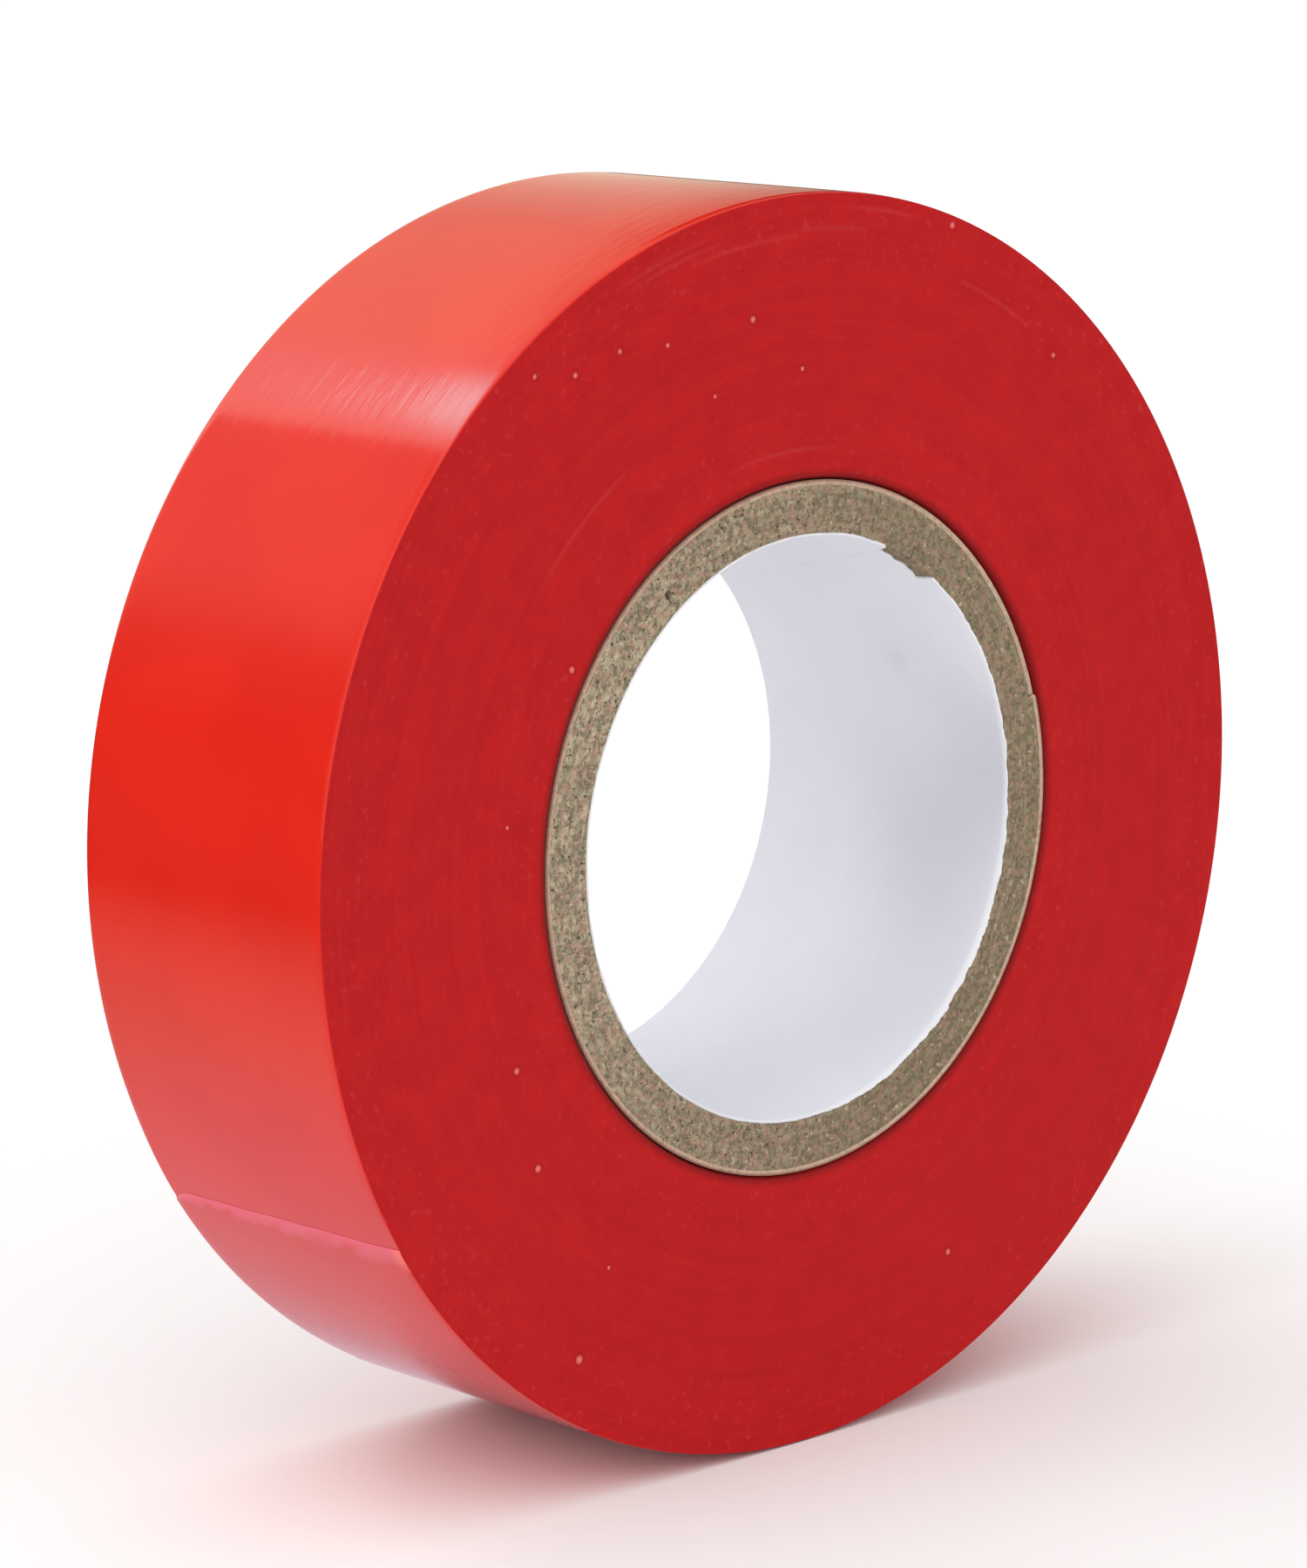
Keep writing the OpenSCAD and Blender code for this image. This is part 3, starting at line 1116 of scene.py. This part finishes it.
def make_floor():
    """A pale table, which reflections and diffuse light see in shades of their own."""
    material, graph, shader = new_material("Pale_Table")
    coords = graph.node("ShaderNodeTexCoord").outputs["Object"]
    haze = graph.noise(coords, 9.0)
    base = graph.mix(haze, FLOOR_LIGHT, FLOOR_LIGHTER)
    away = graph.node("ShaderNodeVectorMath", {"operation": "LENGTH"}, Vector=coords).outputs["Value"]
    depth = graph.node("ShaderNodeSeparateXYZ", Vector=coords).outputs[1]
    close = graph.times(graph.ramp(away, *SHEEN_NEAR), graph.ramp(depth, *SHEEN_IN_FRONT))
    sheen = graph.plus(close, graph.ramp(away, *SHEEN_FAR))
    blue = graph.times(sheen, graph.ramp(away, *SHEEN_BLUE))
    rays = graph.node("ShaderNodeLightPath").outputs
    base = graph.mix(rays["Is Diffuse Ray"], base, colour(BOUNCE, BOUNCE, BOUNCE))
    base = graph.mix(rays["Is Glossy Ray"], base, graph.vector(sheen, sheen, blue))
    graph.feed(shader.inputs["Base Color"], base)
    shader.inputs["Roughness"].default_value = 0.9
    shader.inputs["Specular IOR Level"].default_value = 0.1
    mesh = bpy.data.meshes.new("Floor")
    corners = [(-1, -1), (1, -1), (1, 1), (-1, 1)]
    points = [(x * FLOOR_REACH, y * FLOOR_REACH, FLOOR_Z) for x, y in corners]
    mesh.from_pydata(points, [], [(0, 1, 2, 3)])
    mesh.materials.append(material)
    floor = bpy.data.objects.new("Floor", mesh)
    bpy.context.scene.collection.objects.link(floor)


# The studio behind the roll: angle about the roll's axis, and brightness there
STUDIO = (
    (-180, 0.02), (-90, 0.8), (-8, 0.8), (10, 0.72), (42, 0.62), (54, 0.76), (68, 0.92), (76, 1.05),
    (85, 1.17), (94, 1.34), (105.5, 1.52), (107, 0.50), (136, 0.55), (144, 0.42),
    (152, 0.16), (166, 0.03), (180, 0.02),
)
BRIGHTEST = 4.0
# The long light above leans over towards the front by this angle, between these directions
LEAN = (0.35, 0.765, math.radians(20), 0)
# Towards the right its light fades to the front, and comes back a little further forward
FADE = (0.672, 0.735, 0.05, 1.35)
NO_FADE = (math.radians(47), math.radians(62))
FADE_FORWARD = (0.57, 0.66, 0.8, 0.0)
# How the light from behind takes over from the fill in front
BEHIND_SHARE = (0.35, 0.67)
# The fill in front, from the left to the right, from the floor upwards and in reflections
FILL_SIDE = (-0.9, 0.9, 1.57, 0.50)
FILL_HEIGHT = (0.0, 0.7, 0.85, 1.15)
FILL_MIRRORED = (0, 1, 1, 0.55)
# The lamp inside the long light: its angle about the roll's axis, the share of its
# direction that points backwards, how far its glow reaches and how bright it is
LAMP_ANGLE = 96.2
LAMP_BACK = 0.70
LAMP_SIZE = 0.125
LAMP_LEVEL = 4.4
# The part of that reach over which the glow is even
LAMP_CORE = 0.2
# The glow ends softly between these towards the back, and is drawn out towards the front
LAMP_END = (0.729, 0.759, 1, 0)
LAMP_TILT = 0.12
LAMP_TAIL = 0.35
# Red, green and blue of the lamp in reflections, and its level in diffuse light
LAMP_TINT = (0.1, 1.0, 1.1)
LAMP_DIFFUSED = 0.45
# Red, green and blue of the light from behind in reflections, and where that tint weakens
WARM = (1.06, 1.0, 0.76)
LESS_WARM = (math.radians(80), math.radians(90))
LEAST_WARM = (0, 1, 1, 0.3)
# The studio's strength in diffuse light and in reflections
STRENGTH = (0, 1, 1.0, 0.75)


def studio_ramp(graph, around):
    """The brightness behind the roll at an angle about its axis."""
    whole_turn = graph.ramp(around, -math.pi, math.pi, smoothed=False)
    ramp = graph.node("ShaderNodeValToRGB", Fac=whole_turn)
    elements = ramp.color_ramp.elements
    while len(elements) > 1:
        elements.remove(elements[-1])
    for number, (angle, level) in enumerate(STUDIO):
        position = (angle + 180) / 360
        element = elements[0] if number == 0 else elements.new(position)
        element.position = position
        shade = level / BRIGHTEST
        element.color = (shade, shade, shade, 1)
    return graph.times(ramp.outputs[0], BRIGHTEST)


def light_behind(graph, around, leaning, y):
    """The long overhead light, the dark gap to its left and its fade towards the right."""
    fade = graph.math("MAXIMUM", graph.ramp(y, *FADE), graph.ramp(around, *NO_FADE))
    fade = graph.math("MAXIMUM", fade, graph.ramp(y, *FADE_FORWARD))
    return graph.times(studio_ramp(graph, leaning), fade)


def light_in_front(graph, x, z, glossy):
    """The soft fill: brighter at the left and higher up, and dimmer in reflections."""
    fill = graph.times(graph.ramp(x, *FILL_SIDE), graph.ramp(z, *FILL_HEIGHT))
    return graph.times(fill, graph.ramp(glossy, *FILL_MIRRORED))


def lamp_glow(graph, leaning, y):
    """The lamp's brightness: a round glow, drawn out towards the front."""
    across = graph.math("SUBTRACT", leaning, math.radians(LAMP_ANGLE))
    across = graph.times(across, math.sqrt(1 - LAMP_BACK ** 2))
    along = graph.math("SUBTRACT", y, LAMP_BACK)
    along = graph.math("MAXIMUM", along, graph.times(along, -LAMP_TAIL))
    squares = graph.plus(graph.times(across, across), graph.times(along, along))
    away = graph.math("SQRT", squares)
    glow = graph.ramp(away, LAMP_CORE * LAMP_SIZE, LAMP_SIZE, LAMP_LEVEL, 0)
    tilted = graph.math("MULTIPLY_ADD", across, -LAMP_TILT, y)
    return graph.times(glow, graph.ramp(tilted, *LAMP_END))


def studio_colour(graph, direction, glossy):
    """The studio's light from a direction. Reflections see it tinted and dimmer."""
    x, y, z = graph.node("ShaderNodeSeparateXYZ", Vector=direction).outputs
    around = graph.math("ARCTAN2", z, x)
    leaning = graph.math("SUBTRACT", around, graph.ramp(y, *LEAN, smoothed=False))
    share = graph.ramp(y, *BEHIND_SHARE)
    behind = graph.times(light_behind(graph, around, leaning, y), share)
    front = graph.times(light_in_front(graph, x, z, glossy), graph.math("SUBTRACT", 1.0, share))
    lamp = lamp_glow(graph, leaning, y)
    less_warm = graph.ramp(graph.ramp(around, *LESS_WARM), *LEAST_WARM)
    warmth = graph.times(glossy, less_warm)
    strength = graph.ramp(glossy, *STRENGTH)
    channels = []
    for warm, lamp_level in zip(WARM, LAMP_TINT):
        tint = graph.ramp(warmth, 0, 1, 1, warm, smoothed=False)
        lamp_tint = graph.ramp(glossy, 0, 1, LAMP_DIFFUSED, lamp_level, smoothed=False)
        lit = graph.math("MULTIPLY_ADD", lamp, lamp_tint, front)
        channel = graph.math("MULTIPLY_ADD", behind, tint, lit)
        channels.append(graph.times(channel, strength))
    return graph.vector(*channels)


def make_world():
    """A plain studio: a long overhead light, a dark gap behind to the left, soft fill in front."""
    world = bpy.data.worlds.new("Studio")
    world.use_nodes = True
    bpy.context.scene.world = world
    graph = Graph(world.node_tree)
    rays = graph.node("ShaderNodeLightPath").outputs
    direction = graph.node("ShaderNodeTexCoord").outputs["Generated"]
    light = studio_colour(graph, direction, rays["Is Glossy Ray"])
    seen = graph.mix(rays["Is Camera Ray"], light, colour(1, 1, 1))
    graph.feed(world.node_tree.nodes["Background"].inputs["Color"], seen)


def make_stage():
    """The floor, the light and a plain view transform."""
    make_floor()
    make_world()
    bpy.context.scene.view_settings.view_transform = "Standard"


# -------- build

make_camera()
film_material = make_rim_material("PVC_Film")
cut_film_material = make_rim_material("PVC_Film_Cut_End", cut_end=True)
edge_material = make_face_material()
adhesive_material = make_adhesive_material()
make_winding(film_material, edge_material)
make_tape_ends(film_material, cut_film_material, adhesive_material)
make_core()
make_stage()
